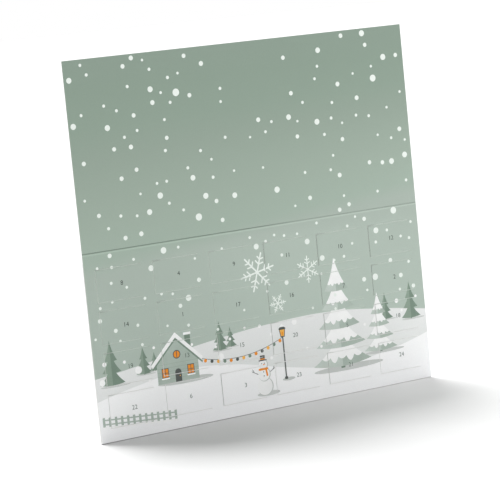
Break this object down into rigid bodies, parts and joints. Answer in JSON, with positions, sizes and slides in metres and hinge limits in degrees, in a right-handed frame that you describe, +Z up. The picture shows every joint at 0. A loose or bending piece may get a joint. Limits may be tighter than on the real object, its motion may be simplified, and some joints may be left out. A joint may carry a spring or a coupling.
{
  "type": "folding advent calendar",
  "caption": "Folding paper advent calendar: a creased card whose lower leaf has rows of die-cut doors that open on pictures behind, and whose upper leaf folds back.",
  "frame": {"origin": "middle of the lower edge, half way through the doubled card of the lower leaf", "axes": "+Z up along the opened sheet, +X to the viewer's right, +Y away from the viewer, so the printed side faces -Y"},
  "size_m": [0.21, 0.0008, 0.198],
  "materials": {
    "printed_card": "matt",
    "door_card": "matt",
    "picture_card": "matt",
    "glue": "dry glue film"
  },
  "bodies": {
    "calendar": {"door_panel": "printed_card", "picture_panel": "picture_card", "glue_film": "glue"},
    "upper_leaf": {"upper_leaf": "printed_card"},
    "door_01": {"door_01": "door_card"},
    "door_02": {"door_02": "door_card"},
    "door_03": {"door_03": "door_card"},
    "door_04": {"door_04": "door_card"},
    "door_05": {"door_05": "door_card"},
    "door_06": {"door_06": "door_card"},
    "door_07": {"door_07": "door_card"},
    "door_08": {"door_08": "door_card"},
    "door_09": {"door_09": "door_card"},
    "door_10": {"door_10": "door_card"},
    "door_11": {"door_11": "door_card"},
    "door_12": {"door_12": "door_card"},
    "door_13": {"door_13": "door_card"},
    "door_14": {"door_14": "door_card"},
    "door_15": {"door_15": "door_card"},
    "door_16": {"door_16": "door_card"},
    "door_17": {"door_17": "door_card"},
    "door_18": {"door_18": "door_card"},
    "door_19": {"door_19": "door_card"},
    "door_20": {"door_20": "door_card"},
    "door_21": {"door_21": "door_card"},
    "door_22": {"door_22": "door_card"},
    "door_23": {"door_23": "door_card"},
    "door_24": {"door_24": "door_card"}
  },
  "joints": [
    {"name": "leaf_fold", "type": "hinge", "parent": "calendar", "child": "upper_leaf", "pos_m": [0, -0.00003, 0.099], "axis": [-1, 0, 0], "range_deg": [0, 174]},
    {"name": "door_01_fold", "type": "hinge", "parent": "calendar", "child": "door_01", "pos_m": [-0.0375, -0.00039, 0.0596], "axis": [0, 0, 1], "range_deg": [0, 170]},
    {"name": "door_02_fold", "type": "hinge", "parent": "calendar", "child": "door_02", "pos_m": [0.0985, -0.00039, 0.0596], "axis": [0, 0, 1], "range_deg": [0, 170]},
    {"name": "door_03_fold", "type": "hinge", "parent": "calendar", "child": "door_03", "pos_m": [-0.0035, -0.00039, 0.016], "axis": [0, 0, 1], "range_deg": [0, 170]},
    {"name": "door_04_fold", "type": "hinge", "parent": "calendar", "child": "door_04", "pos_m": [-0.0375, -0.00039, 0.0814], "axis": [0, 0, 1], "range_deg": [0, 170]},
    {"name": "door_05_fold", "type": "hinge", "parent": "calendar", "child": "door_05", "pos_m": [0.0645, -0.00039, 0.0378], "axis": [0, 0, 1], "range_deg": [0, 170]},
    {"name": "door_06_fold", "type": "hinge", "parent": "calendar", "child": "door_06", "pos_m": [-0.0375, -0.00039, 0.016], "axis": [0, 0, 1], "range_deg": [0, 170]},
    {"name": "door_07_fold", "type": "hinge", "parent": "calendar", "child": "door_07", "pos_m": [0.0645, -0.00039, 0.0596], "axis": [0, 0, 1], "range_deg": [0, 170]},
    {"name": "door_08_fold", "type": "hinge", "parent": "calendar", "child": "door_08", "pos_m": [-0.0715, -0.00039, 0.0814], "axis": [0, 0, 1], "range_deg": [0, 170]},
    {"name": "door_09_fold", "type": "hinge", "parent": "calendar", "child": "door_09", "pos_m": [-0.0035, -0.00039, 0.0814], "axis": [0, 0, 1], "range_deg": [0, 170]},
    {"name": "door_10_fold", "type": "hinge", "parent": "calendar", "child": "door_10", "pos_m": [0.0645, -0.00039, 0.0814], "axis": [0, 0, 1], "range_deg": [0, 170]},
    {"name": "door_11_fold", "type": "hinge", "parent": "calendar", "child": "door_11", "pos_m": [0.0305, -0.00039, 0.0814], "axis": [0, 0, 1], "range_deg": [0, 170]},
    {"name": "door_12_fold", "type": "hinge", "parent": "calendar", "child": "door_12", "pos_m": [0.0985, -0.00039, 0.0814], "axis": [0, 0, 1], "range_deg": [0, 170]},
    {"name": "door_13_fold", "type": "hinge", "parent": "calendar", "child": "door_13", "pos_m": [-0.0375, -0.00039, 0.0378], "axis": [0, 0, 1], "range_deg": [0, 170]},
    {"name": "door_14_fold", "type": "hinge", "parent": "calendar", "child": "door_14", "pos_m": [-0.0715, -0.00039, 0.0596], "axis": [0, 0, 1], "range_deg": [0, 170]},
    {"name": "door_15_fold", "type": "hinge", "parent": "calendar", "child": "door_15", "pos_m": [-0.0035, -0.00039, 0.0378], "axis": [0, 0, 1], "range_deg": [0, 170]},
    {"name": "door_16_fold", "type": "hinge", "parent": "calendar", "child": "door_16", "pos_m": [0.0305, -0.00039, 0.0596], "axis": [0, 0, 1], "range_deg": [0, 170]},
    {"name": "door_17_fold", "type": "hinge", "parent": "calendar", "child": "door_17", "pos_m": [-0.0035, -0.00039, 0.0596], "axis": [0, 0, 1], "range_deg": [0, 170]},
    {"name": "door_18_fold", "type": "hinge", "parent": "calendar", "child": "door_18", "pos_m": [0.0985, -0.00039, 0.0378], "axis": [0, 0, 1], "range_deg": [0, 170]},
    {"name": "door_19_fold", "type": "hinge", "parent": "calendar", "child": "door_19", "pos_m": [-0.0715, -0.00039, 0.0378], "axis": [0, 0, 1], "range_deg": [0, 170]},
    {"name": "door_20_fold", "type": "hinge", "parent": "calendar", "child": "door_20", "pos_m": [0.0305, -0.00039, 0.0378], "axis": [0, 0, 1], "range_deg": [0, 170]},
    {"name": "door_21_fold", "type": "hinge", "parent": "calendar", "child": "door_21", "pos_m": [0.0645, -0.00039, 0.016], "axis": [0, 0, 1], "range_deg": [0, 170]},
    {"name": "door_22_fold", "type": "hinge", "parent": "calendar", "child": "door_22", "pos_m": [-0.0715, -0.00039, 0.016], "axis": [0, 0, 1], "range_deg": [0, 170]},
    {"name": "door_23_fold", "type": "hinge", "parent": "calendar", "child": "door_23", "pos_m": [0.0305, -0.00039, 0.016], "axis": [0, 0, 1], "range_deg": [0, 170]},
    {"name": "door_24_fold", "type": "hinge", "parent": "calendar", "child": "door_24", "pos_m": [0.0985, -0.00039, 0.016], "axis": [0, 0, 1], "range_deg": [0, 170]}
  ]
}
